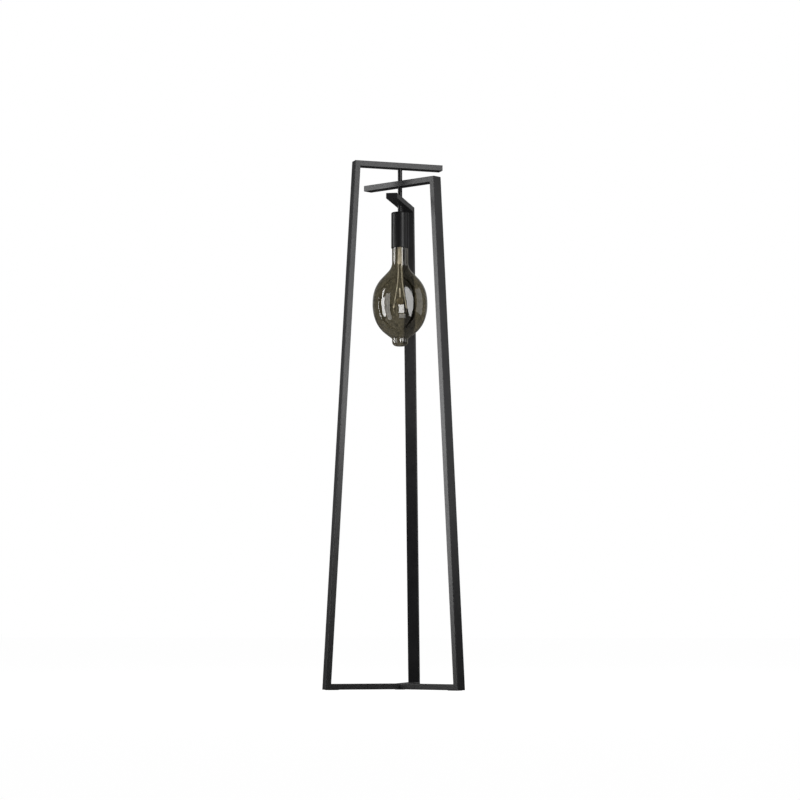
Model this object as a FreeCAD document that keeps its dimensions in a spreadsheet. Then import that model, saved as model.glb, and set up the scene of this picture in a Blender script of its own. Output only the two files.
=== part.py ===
"""Three-legged floor lamp: three flat tube frames on one axis, with a large globe bulb hung between them.

Millimetres, +Z up. The origin is on the lamp's axis at floor level. The lower frame's leg lies along +Y,
at the back; the other two legs stand at 120 degrees to it. Each frame is a base bar from the centre to the
foot, a leaning leg and a top bar that runs over the axis and ends beyond it. The top bars cross at three
levels on one threaded pipe, and the bulb screws out of its holder downwards.
"""
import FreeCAD, Part
import math
import os
import re
import Sketcher

V = FreeCAD.Vector
doc = FreeCAD.newDocument("floor_lamp")
dims = doc.addObject("Spreadsheet::Sheet", "dims")

SIZES = {
    # Rectangular steel tube of every frame: width across the frame's plane, depth in it.
    "tube_width": 30,
    "tube_depth": 15,
    "tube_wall": 1.5,
    "tube_rounding": 1.2,
    # Frames: reach of the outer face from the axis at the floor and at the top, height of the upper bar's
    # top, and the clear gaps under the upper and the middle bar.
    "foot_reach": 210,
    "top_reach": 130,
    "overhang": 116,
    "upper_height": 1400,
    "upper_gap": 34,
    "middle_gap": 34,
    "upper_turn": 210,
    "middle_turn": 330,
    "lower_turn": 90,
    # Plugs that close the free ends of the top bars.
    "plug_plate": 2,
    "plug_depth": 12,
    "slip": 0.2,
    # Pads under the base, and the connector that joins the base bars at the centre.
    "pad_thickness": 1,
    "foot_pad_length": 32,
    "foot_pad_width": 24,
    "foot_pad_inset": 6,
    "centre_pad_radius": 14,
    "arm_length": 64,
    "screw_reach": 45,
    "screw_radius": 2.5,
    "screw_head_radius": 4.6,
    "screw_length": 10,
    # Threaded pipe on the axis, its nut inside the upper bar and the sleeves between the bars.
    "pipe_radius": 5,
    "pipe_bore_radius": 4,
    "nut_radius": 8,
    "nut_height": 6,
    "thread_play": 0.1,
    "sleeve_radius": 6,
    "window_width": 6,
    "window_height": 11,
    # Cup over the lampholder.
    "cover_radius": 23.5,
    "cover_wall": 1.2,
    "cover_height": 96.4,
    "cover_gap": 19.2,
    "cover_rounding": 3.5,
    # Lampholder inside the cup.
    "holder_radius": 19.5,
    "holder_wall": 2,
    "holder_cap_height": 24,
    "holder_chamfer": 3,
    "collar_radius": 8,
    "collar_length": 10,
    "skirt_length": 37,
    "ledge_depth": 14,
    "ledge_thickness": 2,
    "ledge_radius": 15,
    "block_play": 0.3,
    "terminal_reach": 9,
    "terminal_radius": 1.6,
    "terminal_head_radius": 2.8,
    "terminal_head_height": 2,
    "terminal_depth": 8,
    # Round thread of the bulb's cap, and the brass shell that it turns in.
    "thread_pitch": 3.629,
    "thread_root_radius": 12.1,
    "thread_crest_radius": 13.2,
    "thread_half_width": 1.3,
    "thread_turns": 3.5,
    "thread_start": 3.1,
    "thread_gap": 0.35,
    "thread_sink": 0.1,
    "thread_footing": 0.5,
    "groove_lead": 2,
    "groove_turns": 9,
    "shell_bore_radius": 12.6,
    "shell_radius": 14.4,
    "shell_length": 24,
    # Spring tongue at the bottom of the shell.
    "tongue_width": 6,
    "tongue_thickness": 0.5,
    "tongue_drop": 1.5,
    "tongue_reach": 9.5,
    "contact_gap": 0.3,
    # Cap of the bulb.
    "cap_height": 22,
    "cap_bore_radius": 10.6,
    "cap_cone_height": 3,
    "cap_shoulder": 1,
    "cap_mouth_radius": 7,
    "insulator_radius": 8.4,
    "insulator_height": 1.5,
    "contact_radius": 4,
    "contact_height": 1.6,
    "contact_depth": 2,
    # Glass of the bulb, from its widest level: arcs and straight runs that pass into each other. What is
    # called a drop, here and below, is a distance below the bottom of the bulb's cap.
    "glass_wall": 1,
    "globe_radius": 73.3,
    "globe_drop": 181.7,
    "neck_radius": 21.5,
    "neck_cone_height": 22,
    "neck_plug_height": 5,
    "upper_arc_radius": 160,
    "upper_arc_angle": 8,
    "shoulder_radius": 87,
    "shoulder_angle": 43.3,
    "throat_radius": 36,
    "belly_radius": 121,
    "belly_angle": 18.6,
    "bottom_radius": 83.5,
    "bottom_angle": 52.7,
    "tip_radius": 21.2,
    "tip_throat_radius": 3,
    "tip_length": 18.7,
    "tip_rounding": 12,
    # Glass stem, its button and the wires inside the bulb.
    "stem_radius": 6.5,
    "stem_end_radius": 5.4,
    "stem_wall": 1,
    "stem_flare_radius": 9,
    "stem_flare_height": 12,
    "stem_drop": 72.7,
    "rod_radius": 1.4,
    "button_radius": 9,
    "button_height": 19,
    "button_drop": 180.7,
    "lead_turn": 10.93,
    "lead_radius": 1.3,
    "lead_top_spread": 4,
    "lead_spread": 16.5,
    "lead_past_button": 4,
    "tip_sleeve_radius": 1.8,
    "tip_sleeve_length": 6,
    "filament_radius": 0.3,
    "filament_sag": 24,
    "hook_radius": 0.4,
    "hook_gap": 0.2,
    # Wiring inside the tubes: a flex from the lampholder to a terminal block near the foot of the rear leg.
    "flex_radius": 2.1,
    "flex_turn_radius": 8,
    "flex_corner_radius": 12,
    "block_level": 120,
    "block_length": 26,
    "block_depth": 9.5,
    "block_width": 22,
    "gland_level": 60,
    "gland_bore_radius": 3.5,
    "gland_neck_radius": 6,
    "gland_flange_radius": 9,
    "gland_flange_step": 1,
    "gland_flange_height": 2,
}

START_REACH = 50  # how far from the origin a sketch's corners are drawn before their formulas place them
OVERCUT = 1  # how far a cutting shape reaches past the face that it opens
PAST_END = 20  # how far a tube's hollow is cut beyond its ends, so that it stays open at the mitres
CLOSE = 1e-4  # places and directions nearer than this count as the same

for row, (name, number) in enumerate(SIZES.items(), start=1):
    dims.set(f"A{row}", name)
    dims.set(f"B{row}", str(number))
    dims.setAlias(f"B{row}", name)
doc.recompute()

nodes = []


def size(name):
    """A driving dimension, read back from the sheet."""
    return float(dims.get(name))


def bound(text):
    """The same formula with each driving dimension named as a cell of the sheet."""
    return re.sub(r"[a-z_]+", lambda word: "dims." + word[0] if word[0] in SIZES else word[0], text)


def bind(target, **formulas):
    """Binds properties of an object to formulas in the driving dimensions."""
    for path, formula in formulas.items():
        target.setExpression(path.replace("__", "."), bound(formula))


def keep(piece, label):
    """Marks an object as one of the lamp's pieces, under its own name."""
    piece.Label = label
    nodes.append(piece)
    return piece


# --- Forms that several pieces share ------------------------------------------------------------------

def new_body(label):
    body = doc.addObject("PartDesign::Body", label)
    body.Label = label
    return body


def outline(body, corners, role="XZ_Plane"):
    """A closed sketch of straight sides on one of the body's planes, each corner bound to its formulas."""
    sketch = body.newObject("Sketcher::SketchObject", "outline")
    plane = [feature for feature in body.Origin.OriginFeatures if feature.Role == role][0]
    sketch.AttachmentSupport = (plane, "")
    sketch.MapMode = "FlatFace"
    count = len(corners)
    swings = [math.tau * i / count for i in range(count)]
    ring = [V(math.cos(swing), math.sin(swing), 0) * START_REACH for swing in swings]
    for i in range(count):
        sketch.addGeometry(Part.LineSegment(ring[i], ring[(i + 1) % count]), False)
    for i in range(count):
        sketch.addConstraint(Sketcher.Constraint("Coincident", i, 2, (i + 1) % count, 1))
    for i, (across, up) in enumerate(corners):
        pin_point(sketch, "DistanceX", i, 1, ring[i].x, across)
        pin_point(sketch, "DistanceY", i, 1, ring[i].y, up)
    return sketch


def pin_point(sketch, kind, line, end, start, formula):
    """Holds one end of a sketch line at a distance from the origin that follows a formula."""
    number = sketch.addConstraint(Sketcher.Constraint(kind, -1, 1, line, end, start))
    sketch.setExpression(f"Constraints[{number}]", bound(formula))


def thicken(body, corners, width, cut=False):
    """Pads or cuts an upright outline by the same amount to both sides of its plane."""
    feature = body.newObject("PartDesign::Pocket" if cut else "PartDesign::Pad", "side")
    feature.Profile = outline(body, corners)
    feature.Midplane = True
    bind(feature, Length=width)
    return feature


def turn(body, corners):
    """Revolves an upright outline about the body's vertical axis."""
    sketch = outline(body, corners)
    feature = body.newObject("PartDesign::Revolution", "turned")
    feature.Profile = sketch
    feature.ReferenceAxis = (sketch, ["V_Axis"])
    feature.Angle = 360
    return feature


def turned_piece(label, corners):
    body = new_body(label)
    turn(body, corners)
    return keep(body, label)


def ring_piece(label, bore, radius, low, high):
    """A plain sleeve or washer on the lamp's axis."""
    return turned_piece(label, [(bore, low), (radius, low), (radius, high), (bore, high)])


def cylinder(radius, height, up="0", reach="0", swing="0"):
    """An upright cylinder, placed by its reach from the axis and its angle round it."""
    piece = doc.addObject("Part::Cylinder", "round")
    bind(piece, Radius=radius, Height=height)
    place(piece, up, reach, swing)
    return piece


def place(piece, up, reach, swing):
    piece.Placement.Rotation = FreeCAD.Rotation(V(0, 0, 1), 1)
    bind(
        piece,
        Placement__Base__x=f"({reach}) * cos({swing})",
        Placement__Base__y=f"({reach}) * sin({swing})",
        Placement__Base__z=up,
        Placement__Rotation__Angle=swing,
    )


def joined(pieces):
    union = doc.addObject("Part::MultiFuse", "joined")
    union.Shapes = pieces
    return union


def without(base, tool):
    rest = doc.addObject("Part::Cut", "cut")
    rest.Base = base
    rest.Tool = tool
    return rest


def round_long_edges(body, along, shortest):
    """Rounds the tube's outer edges, the ones that run along its length.

    along is the direction of the tube in the frame's plane, and shortest leaves out the edges at its ends.
    """
    base = body.Tip
    doc.recompute()
    half = size("tube_width") / 2
    names = []
    for number, edge in enumerate(base.Shape.Edges, start=1):
        middle = edge.CenterOfMass
        run = edge.Vertexes[-1].Point - edge.Vertexes[0].Point
        straight = run.Length > shortest and abs(abs(run.normalize().dot(along)) - 1) < CLOSE
        if straight and abs(abs(middle.y) - half) < CLOSE:
            names.append(f"Edge{number}")
    fillet = body.newObject("PartDesign::Fillet", "rounding")
    fillet.Base = (base, names)
    bind(fillet, Radius="tube_rounding")


# --- The three frames ---------------------------------------------------------------------------------

INNER_WIDTH = "tube_width - 2 * tube_wall"
FRAMES = ("upper", "middle", "lower")


def gaps_above(frame):
    """Names of the gaps between the top bars above a frame's own."""
    return [f"{higher}_gap" for higher in FRAMES[:FRAMES.index(frame)]]


def top_of(frame):
    """Formula for the height of a frame's top bar: each gap and each bar above it takes it down."""
    return "(" + " - ".join(["upper_height"] + [f"tube_depth - {gap}" for gap in gaps_above(frame)]) + ")"


def height_of(frame):
    """The same height as a number."""
    return size("upper_height") - sum(size("tube_depth") + size(gap) for gap in gaps_above(frame))


def lean(frame):
    """Angle of a leg from upright, in degrees."""
    return f"atan((foot_reach - top_reach) / ({top_of(frame)} - pad_thickness))"


def leg_point(frame, along, inward):
    """A point of a leg, by its distance along the outer face from the floor and its depth behind it."""
    angle = lean(frame)
    return (
        f"foot_reach - ({along}) * sin({angle}) - ({inward}) * cos({angle})",
        f"pad_thickness + ({along}) * cos({angle}) - ({inward}) * sin({angle})",
    )


def leg_reach(frame, level, inward):
    """Distance from the axis of a line in the leg, parallel to its outer face, at a level."""
    angle = lean(frame)
    return f"foot_reach - (({level}) - pad_thickness) * tan({angle}) - ({inward}) / cos({angle})"


def turned_to(body, frame):
    bind(body, Placement__Rotation__Angle=f"{frame}_turn")
    return body


def top_bar(frame):
    """Level bar over the axis: mitred to the leg at one end, plugged at the other, open inside."""
    top = top_of(frame)
    low = f"{top} - tube_depth"
    body = new_body("top_bar_tube")
    end = "plug_plate - overhang"
    corner = leg_reach(frame, low, "tube_depth")
    thicken(body, [(end, low), (corner, low), ("top_reach", top), (end, top)], "tube_width")
    round_long_edges(body, V(1, 0, 0), size("tube_width") * 2)
    inside_low = f"{low} + tube_wall"
    inside_top = f"{top} - tube_wall"
    left = f"-overhang - {PAST_END}"
    right = f"top_reach + {PAST_END}"
    hollow = [(left, inside_low), (right, inside_low), (right, inside_top), (left, inside_top)]
    thicken(body, hollow, INNER_WIDTH, cut=True)
    turned_to(body, frame)
    hole_top = f"{low} + tube_wall + {OVERCUT}" if frame == "upper" else f"{top} + {OVERCUT}"
    hole_low = f"{low} - {OVERCUT}"
    hole = cylinder("pipe_radius + slip", f"({hole_top}) - ({hole_low})", up=hole_low)
    keep(without(body, hole), f"{frame}_top_bar")


def leg(frame):
    """Leaning leg, mitred to the top bar and to the base bar."""
    top = top_of(frame)
    low = f"{top} - tube_depth"
    step = "pad_thickness + tube_depth"
    body = new_body(f"{frame}_leg" if frame != "lower" else "leg_tube")
    corners = [
        ("foot_reach", "pad_thickness"),
        ("top_reach", top),
        (leg_reach(frame, low, "tube_depth"), low),
        (leg_reach(frame, step, "tube_depth"), step),
    ]
    thicken(body, corners, "tube_width")
    rise = height_of(frame) - size("pad_thickness")
    run = size("top_reach") - size("foot_reach")
    round_long_edges(body, V(run, 0, rise).normalize(), size("tube_width") * 2)
    length = f"({top} - pad_thickness) / cos({lean(frame)})"
    hollow = [
        leg_point(frame, f"-{PAST_END}", "tube_wall"),
        leg_point(frame, f"{length} + {PAST_END}", "tube_wall"),
        leg_point(frame, f"{length} + {PAST_END}", "tube_depth - tube_wall"),
        leg_point(frame, f"-{PAST_END}", "tube_depth - tube_wall"),
    ]
    thicken(body, hollow, INNER_WIDTH, cut=True)
    turned_to(body, frame)
    if frame == "lower":
        hole = gland_stem("gland_neck_radius + slip", f"tube_wall + 2 * {OVERCUT}", f"-{OVERCUT}")
        return keep(without(body, hole), "lower_leg")
    return keep(body, f"{frame}_leg")


def base_bar(frame):
    """Floor bar: mitred to the leg at the foot, and cut to a point that meets the other two at the centre."""
    top = "pad_thickness + tube_depth"
    body = new_body("base_bar_tube")
    corners = [
        ("0", "pad_thickness"),
        ("foot_reach", "pad_thickness"),
        (leg_reach(frame, top, "tube_depth"), top),
        ("0", top),
    ]
    thicken(body, corners, "tube_width")
    round_long_edges(body, V(1, 0, 0), size("tube_width") * 2)
    inside_low = "pad_thickness + tube_wall"
    inside_top = f"{top} - tube_wall"
    far = f"foot_reach + {PAST_END}"
    near = f"-{PAST_END}"
    hollow = [(near, inside_low), (far, inside_low), (far, inside_top), (near, inside_top)]
    thicken(body, hollow, INNER_WIDTH, cut=True)
    for side in ("", "-"):
        edge = "tube_width"
        far_side = f"{side}{edge}"
        corners = [("0", "0"), (f"{edge} / tan(60)", far_side), (f"-{edge}", far_side), (f"-{edge}", "0")]
        sketch = outline(body, corners, "XY_Plane")
        pocket = body.newObject("PartDesign::Pocket", "point")
        pocket.Profile = sketch
        pocket.Midplane = True
        bind(pocket, Length="4 * tube_depth")
    turned_to(body, frame)
    keep(without(body, screw_form("slip", f"{frame}_turn")), f"{frame}_base_bar")


def end_cap(frame):
    """Plug in the free end of a top bar: a plate of the tube's outline and a block inside it."""
    top = top_of(frame)
    low = f"{top} - tube_depth"
    face = "-overhang"
    seat = "plug_plate - overhang"
    tip = "plug_depth - overhang"
    body = new_body(f"{frame}_end_cap")
    thicken(body, [(face, low), (seat, low), (seat, top), (face, top)], "tube_width")
    round_long_edges(body, V(1, 0, 0), size("plug_plate") / 2)
    inside_low = f"{low} + tube_wall + slip"
    inside_top = f"{top} - tube_wall - slip"
    plug = [(seat, inside_low), (tip, inside_low), (tip, inside_top), (seat, inside_top)]
    thicken(body, plug, f"{INNER_WIDTH} - 2 * slip")
    keep(turned_to(body, frame), f"{frame}_end_cap")


# --- Base ---------------------------------------------------------------------------------------------

def screw_form(play, swing):
    """Countersunk screw from beneath, or the hole for it with some play all round."""
    cone = doc.addObject("Part::Cone", "head")
    rise = "screw_head_radius - screw_radius"
    bind(cone, Radius1=f"screw_head_radius + {play}", Radius2=f"screw_radius + {play}", Height=rise)
    place(cone, "pad_thickness", "screw_reach", swing)
    radius, length = f"screw_radius + {play}", f"screw_length + {play}"
    shank = cylinder(radius, length, "pad_thickness", "screw_reach", swing)
    return joined([cone, shank])


def base_screws():
    keep(joined([screw_form("0", f"{frame}_turn") for frame in FRAMES]), "base_screws")


def base_spider():
    """Three-armed connector inside the inner ends of the base bars."""
    arms = []
    for frame in FRAMES:
        arm = doc.addObject("Part::Box", "arm")
        width = f"({INNER_WIDTH} - 2 * slip)"
        bind(arm, Length="arm_length", Width=width, Height="tube_depth - 2 * tube_wall - 2 * slip")
        place(arm, "pad_thickness + tube_wall + slip", "0", f"{frame}_turn")
        bind(
            arm,
            Placement__Base__x=f"{width} / 2 * sin({frame}_turn)",
            Placement__Base__y=f"-{width} / 2 * cos({frame}_turn)",
        )
        arms.append(arm)
    holes = joined([screw_form("slip", f"{frame}_turn") for frame in FRAMES])
    keep(without(joined(arms), holes), "base_spider")


def foot_pads():
    """Thin pads stuck under the feet."""
    pads = []
    for frame in FRAMES:
        pad = doc.addObject("Part::Box", "pad")
        bind(pad, Length="foot_pad_length", Width="foot_pad_width", Height="pad_thickness")
        reach = "(foot_reach - foot_pad_inset - foot_pad_length)"
        place(pad, "0", reach, f"{frame}_turn")
        swing = f"{frame}_turn"
        bind(
            pad,
            Placement__Base__x=f"{reach} * cos({swing}) + foot_pad_width / 2 * sin({swing})",
            Placement__Base__y=f"{reach} * sin({swing}) - foot_pad_width / 2 * cos({swing})",
        )
        pads.append(pad)
    keep(joined(pads), "foot_pads")


def centre_pad():
    keep(cylinder("centre_pad_radius", "pad_thickness"), "centre_pad")


# --- Pipe and sleeves on the axis ---------------------------------------------------------------------

COVER_TOP = f"({top_of('lower')} - tube_depth - cover_gap)"
COVER_INSIDE = f"({COVER_TOP} - cover_wall)"
PIPE_BOTTOM = f"({COVER_INSIDE} - collar_length)"
NUT_SEAT = "(upper_height - tube_depth + tube_wall)"
THREAD_BORE = "pipe_radius + thread_play"


def centre_pipe():
    """Threaded pipe from the lampholder to the upper bar, with a window for the flex in the lower bar."""
    body = new_body("pipe_tube")
    top = f"{NUT_SEAT} + nut_height"
    bore = "pipe_bore_radius"
    turn(body, [(bore, PIPE_BOTTOM), ("pipe_radius", PIPE_BOTTOM), ("pipe_radius", top), (bore, top)])
    window = doc.addObject("Part::Box", "window")
    bind(window, Length="window_width", Width="2 * pipe_radius", Height="window_height")
    bind(
        window,
        Placement__Base__x="-window_width / 2",
        Placement__Base__z=f"{top_of('lower')} - tube_depth / 2 - window_height / 2",
    )
    keep(without(body, window), "centre_pipe")


def top_nut():
    """Six-sided nut welded inside the upper bar, on its lower wall."""
    prism = doc.addObject("Part::Prism", "hexagon")
    prism.Polygon = 6
    bind(prism, Circumradius="nut_radius", Height="nut_height", Placement__Base__z=NUT_SEAT)
    bore = cylinder(THREAD_BORE, f"nut_height + 2 * {OVERCUT}", f"{NUT_SEAT} - {OVERCUT}")
    keep(without(prism, bore), "top_nut")


def sleeves():
    """A plain sleeve under each top bar, down to the next bar or to the cup."""
    for frame, low in zip(FRAMES, (top_of("middle"), top_of("lower"), COVER_TOP)):
        ring_piece(f"{frame}_sleeve", THREAD_BORE, "sleeve_radius", low, f"{top_of(frame)} - tube_depth")


# --- Lampholder ---------------------------------------------------------------------------------------

SKIRT_TOP = f"({COVER_INSIDE} - holder_cap_height)"
BLOCK_BOTTOM = f"({SKIRT_TOP} - ledge_depth)"
SHELL_BOTTOM = f"({BLOCK_BOTTOM} - shell_length)"


def holder_cover():
    """Cup of spun steel over the lampholder and the neck of the bulb."""
    body = new_body("holder_cover")
    low = f"{COVER_TOP} - cover_height"
    inner = "cover_radius - cover_wall"
    hole = "pipe_radius + slip"
    turn(
        body,
        [
            (inner, low),
            ("cover_radius", low),
            ("cover_radius", COVER_TOP),
            (hole, COVER_TOP),
            (hole, COVER_INSIDE),
            (inner, COVER_INSIDE),
        ],
    )
    round_rim(body, size("cover_radius"), "cover_rounding")
    round_rim(body, size("cover_radius") - size("cover_wall"), "cover_rounding - cover_wall")
    keep(body, "holder_cover")


def round_rim(body, radius, rounding):
    """Rounds the highest circle of that radius."""
    base = body.Tip
    doc.recompute()
    rims = []
    for number, edge in enumerate(base.Shape.Edges, start=1):
        if hasattr(edge.Curve, "Radius") and abs(edge.Curve.Radius - radius) < CLOSE:
            rims.append((edge.CenterOfMass.z, f"Edge{number}"))
    fillet = body.newObject("PartDesign::Fillet", "rim")
    fillet.Base = (base, [max(rims)[1]])
    bind(fillet, Radius=rounding)


def lampholder():
    """Moulded cap on the pipe, skirt under it, and the block between them that carries the contacts."""
    inner = "holder_radius - holder_wall"
    turned_piece(
        "lampholder_cap",
        [
            (THREAD_BORE, COVER_INSIDE),
            (THREAD_BORE, PIPE_BOTTOM),
            ("collar_radius", PIPE_BOTTOM),
            ("collar_radius", f"{COVER_INSIDE} - holder_wall"),
            (inner, f"{COVER_INSIDE} - holder_wall"),
            (inner, SKIRT_TOP),
            ("holder_radius", SKIRT_TOP),
            ("holder_radius", f"{COVER_INSIDE} - holder_chamfer"),
            ("holder_radius - holder_chamfer", COVER_INSIDE),
        ],
    )
    turned_piece(
        "lampholder_skirt",
        [
            (inner, SKIRT_TOP),
            ("holder_radius", SKIRT_TOP),
            ("holder_radius", f"{SKIRT_TOP} - skirt_length"),
            (inner, f"{SKIRT_TOP} - skirt_length"),
            (inner, f"{BLOCK_BOTTOM} - ledge_thickness"),
            ("ledge_radius", f"{BLOCK_BOTTOM} - ledge_thickness"),
            ("ledge_radius", BLOCK_BOTTOM),
            (inner, BLOCK_BOTTOM),
        ],
    )
    block = cylinder(f"{inner} - block_play", f"{SKIRT_TOP} - {BLOCK_BOTTOM}", BLOCK_BOTTOM)
    deep = f"terminal_depth + {OVERCUT}"
    holes = [
        cylinder("terminal_radius + slip", deep, f"{SKIRT_TOP} - terminal_depth", reach)
        for reach in ("terminal_reach", "-terminal_reach")
    ]
    keep(without(block, joined(holes)), "contact_block")


def terminal_screws():
    screws = []
    for reach in ("terminal_reach", "-terminal_reach"):
        screws.append(cylinder("terminal_head_radius", "terminal_head_height", SKIRT_TOP, reach))
        depth = "(terminal_depth - slip)"
        screws.append(cylinder("terminal_radius", depth, f"{SKIRT_TOP} - {depth}", reach))
    keep(joined(screws), "terminal_screws")


def thread_rib(body, kind, bottom, gap, turns):
    """Round thread rib on a cap, or the groove for it with a gap all round; it is rooted in what it joins."""
    half = f"(thread_half_width + {gap})"
    root = f"(thread_root_radius - {gap} - thread_sink)"
    back = f"(thread_root_radius - {gap} - thread_footing)"
    sketch = body.newObject("Sketcher::SketchObject", "tooth")
    plane = [feature for feature in body.Origin.OriginFeatures if feature.Role == "XZ_Plane"][0]
    sketch.AttachmentSupport = (plane, "")
    sketch.MapMode = "FlatFace"
    corners = [(back, f"{bottom} - {half}"), (root, f"{bottom} - {half}"), (root, f"{bottom} + {half}")]
    corners.append((back, f"{bottom} + {half}"))
    crest = f"(thread_crest_radius + {gap})"
    middle = cap_bottom()
    near, far = size("thread_root_radius") - size("thread_footing"), size("thread_root_radius")
    low, high = middle - size("thread_half_width"), middle + size("thread_half_width")
    guess = [V(near, low, 0), V(far, low, 0), V(far, high, 0), V(near, high, 0)]
    sketch.addGeometry(Part.LineSegment(guess[0], guess[1]))
    sketch.addGeometry(Part.Arc(guess[1], V(size("thread_crest_radius"), middle, 0), guess[2]))
    sketch.addGeometry(Part.LineSegment(guess[2], guess[3]))
    sketch.addGeometry(Part.LineSegment(guess[3], guess[0]))
    for first, second in ((0, 1), (1, 2), (2, 3), (3, 0)):
        sketch.addConstraint(Sketcher.Constraint("Coincident", first, 2, second, 1))
    for side in range(4):
        across, up = corners[side]
        pin_point(sketch, "DistanceX", side, 1, guess[side].x, across)
        pin_point(sketch, "DistanceY", side, 1, guess[side].y, up)
    # A chord and its rise fix the arc: radius = (half chord^2 + rise^2) / (2 rise).
    rise = f"({crest} - {root})"
    pin_point(sketch, "DistanceX", 1, 3, far, f"{crest} - ({half} ^ 2 + {rise} ^ 2) / (2 * {rise})")
    helix = body.newObject(f"PartDesign::{kind}Helix", "thread")
    helix.Profile = sketch
    helix.ReferenceAxis = (sketch, ["V_Axis"])
    helix.Mode = "pitch-height-angle"
    helix.Angle = 0
    helix.LeftHanded = False
    bind(helix, Pitch="thread_pitch", Height=f"thread_pitch * {turns}")
    return helix


def screw_shell():
    """Brass shell with the round thread that the bulb's cap turns in."""
    body = new_body("screw_shell")
    bore, radius = "shell_bore_radius", "shell_radius"
    turn(body, [(bore, SHELL_BOTTOM), (radius, SHELL_BOTTOM), (radius, BLOCK_BOTTOM), (bore, BLOCK_BOTTOM)])
    start = f"({CAP_BOTTOM} + thread_start - groove_lead * thread_pitch)"
    thread_rib(body, "Subtractive", start, "thread_gap", "groove_turns")
    keep(body, "screw_shell")


def centre_contact():
    """Spring tongue of brass: flat under the block, bent down to the middle of the shell."""
    body = new_body("centre_contact")
    root = BLOCK_BOTTOM
    thick = "tongue_thickness"
    drop = "tongue_drop"
    corners = [
        ("tongue_reach", root),
        ("tongue_reach / 2", root),
        ("contact_radius / 2", f"{root} - {drop} + {thick}"),
        ("-contact_radius / 2", f"{root} - {drop} + {thick}"),
        ("-contact_radius / 2", f"{root} - {drop}"),
        ("contact_radius / 2", f"{root} - {drop}"),
        ("tongue_reach / 2", f"{root} - {thick}"),
        ("tongue_reach", f"{root} - {thick}"),
    ]
    thicken(body, corners, "tongue_width")
    keep(body, "centre_contact")


# --- Bulb ---------------------------------------------------------------------------------------------

CONTACT_TOP = f"({BLOCK_BOTTOM} - tongue_drop - contact_gap)"
CAP_TOP = f"({CONTACT_TOP} - contact_height - insulator_height)"
CAP_BOTTOM = f"({CAP_TOP} - cap_height)"
STEM_LEVEL = f"({CAP_BOTTOM} - stem_drop)"
BUTTON_LEVEL = f"({CAP_BOTTOM} - button_drop)"
BUTTON_TOP = f"({BUTTON_LEVEL} + button_height)"


def cap_bottom():
    """Level where the bulb's glass meets its cap, as a number."""
    block_bottom = height_of("lower") - size("tube_depth") - size("cover_gap") - size("cover_wall")
    block_bottom -= size("holder_cap_height") + size("ledge_depth")
    contact_top = block_bottom - size("tongue_drop") - size("contact_gap")
    return contact_top - size("contact_height") - size("insulator_height") - size("cap_height")


def bulb_cap():
    """Brass cap of the bulb, a shell with a round thread and a cone up to the insulator."""
    body = new_body("bulb_cap")
    root = "thread_root_radius"
    cone = f"{CAP_TOP} - cap_cone_height"
    turn(
        body,
        [
            ("cap_bore_radius", CAP_BOTTOM),
            (root, CAP_BOTTOM),
            (root, cone),
            ("insulator_radius", CAP_TOP),
            ("cap_mouth_radius", CAP_TOP),
            ("cap_bore_radius", f"{cone} - cap_shoulder"),
        ],
    )
    thread_rib(body, "Additive", f"({CAP_BOTTOM} + thread_start)", "0", "thread_turns")
    keep(body, "bulb_cap")


def bulb_cap_top():
    high = f"{CAP_TOP} + insulator_height"
    ring_piece("bulb_insulator", "contact_radius + slip", "insulator_radius", CAP_TOP, high)
    low = f"{CAP_TOP} - contact_depth"
    edge = "contact_radius / 2"
    turned_piece(
        "bulb_centre_contact",
        [
            ("0", low),
            ("contact_radius", low),
            ("contact_radius", f"{CONTACT_TOP} - contact_height / 2"),
            (edge, CONTACT_TOP),
            ("0", CONTACT_TOP),
        ],
    )


def walk(start, heading, steps):
    """Edges of a profile that is walked from a point, in the (radius, height) plane.

    heading is in degrees from straight up, positive inwards. Each step is ("line", length) or
    ("arc", radius, heading to reach, side): side 1 bends round a centre on the axis side, -1 away from it.
    """
    edges = []
    here = V(*start)
    for step in steps:
        if step[0] == "line":
            way = V(-math.sin(math.radians(heading)), 0, math.cos(math.radians(heading)))
            there = here + way * step[1]
            edges.append(Part.LineSegment(here, there).toShape())
        else:
            _, radius, goal, side = step
            out = [V(math.cos(math.radians(a)), 0, math.sin(math.radians(a))) * side for a in
                   (heading, (heading + goal) / 2, goal)]
            centre = here - out[0] * radius
            there = centre + out[2] * radius
            edges.append(Part.Arc(here, centre + out[1] * radius, there).toShape())
            heading = goal
        here = there
    return edges, here


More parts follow.
